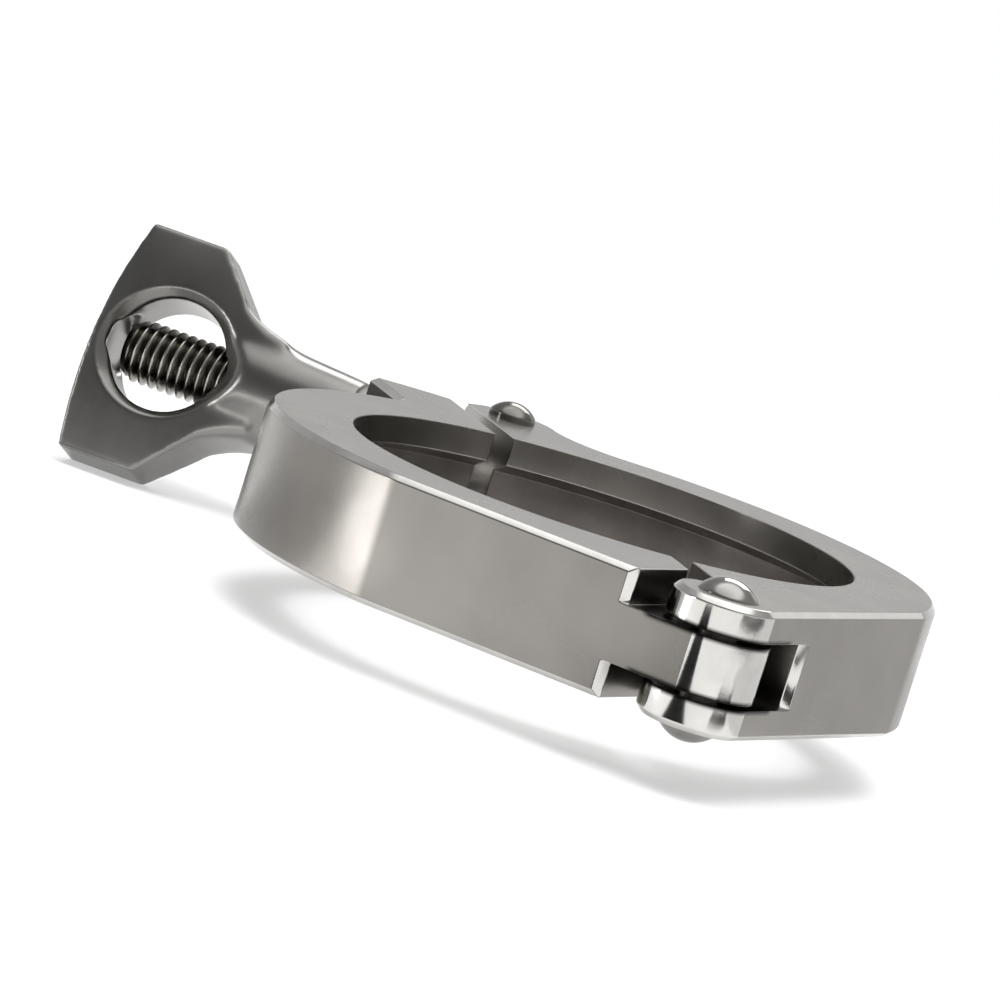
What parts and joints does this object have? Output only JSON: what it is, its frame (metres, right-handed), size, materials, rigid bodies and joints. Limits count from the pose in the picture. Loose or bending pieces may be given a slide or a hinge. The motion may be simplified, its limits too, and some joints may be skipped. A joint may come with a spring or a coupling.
{
  "type": "hinged sanitary clamp",
  "caption": "Hinged ring clamp of two cast halves with an inner V-groove, closed by a swing bolt and a wing nut, for joining sanitary ferrules.",
  "frame": {"origin": "centre of the ring, midway through its width", "axes": "+Z along the ring's axis, +Y from the hinge towards the closure, +X towards the half that carries the swing bolt"},
  "size_m": [0.1007, 0.1636, 0.0364],
  "materials": {
    "cast_half": "satin cast stainless steel with polished chamfers",
    "pin": "polished stainless steel",
    "bolt": "machined stainless steel",
    "nut": "satin cast stainless steel"
  },
  "bodies": {
    "clevis_side": {"clevis_half": "cast_half", "hinge_pin": "pin", "bolt_pin": "pin"},
    "tongue_side": {"tongue_half": "cast_half"},
    "bolt": {"swing_bolt": "bolt"},
    "nut": {"wing_nut": "nut"}
  },
  "joints": [
    {"name": "clamp_hinge", "type": "hinge", "parent": "clevis_side", "child": "tongue_side", "pos_m": [0, -0.05657, 0], "axis": [0, 0, 1], "range_deg": [0, 120]},
    {"name": "bolt_swing", "type": "hinge", "parent": "clevis_side", "child": "bolt", "pos_m": [0.003, 0.0555, 0], "axis": [0, 0, -1], "range_deg": [-36, 144]},
    {"name": "nut_travel", "type": "slide", "parent": "bolt", "child": "nut", "axis": [-0.809, 0.5878, 0], "range_m": [-0.002, 0.03]}
  ]
}
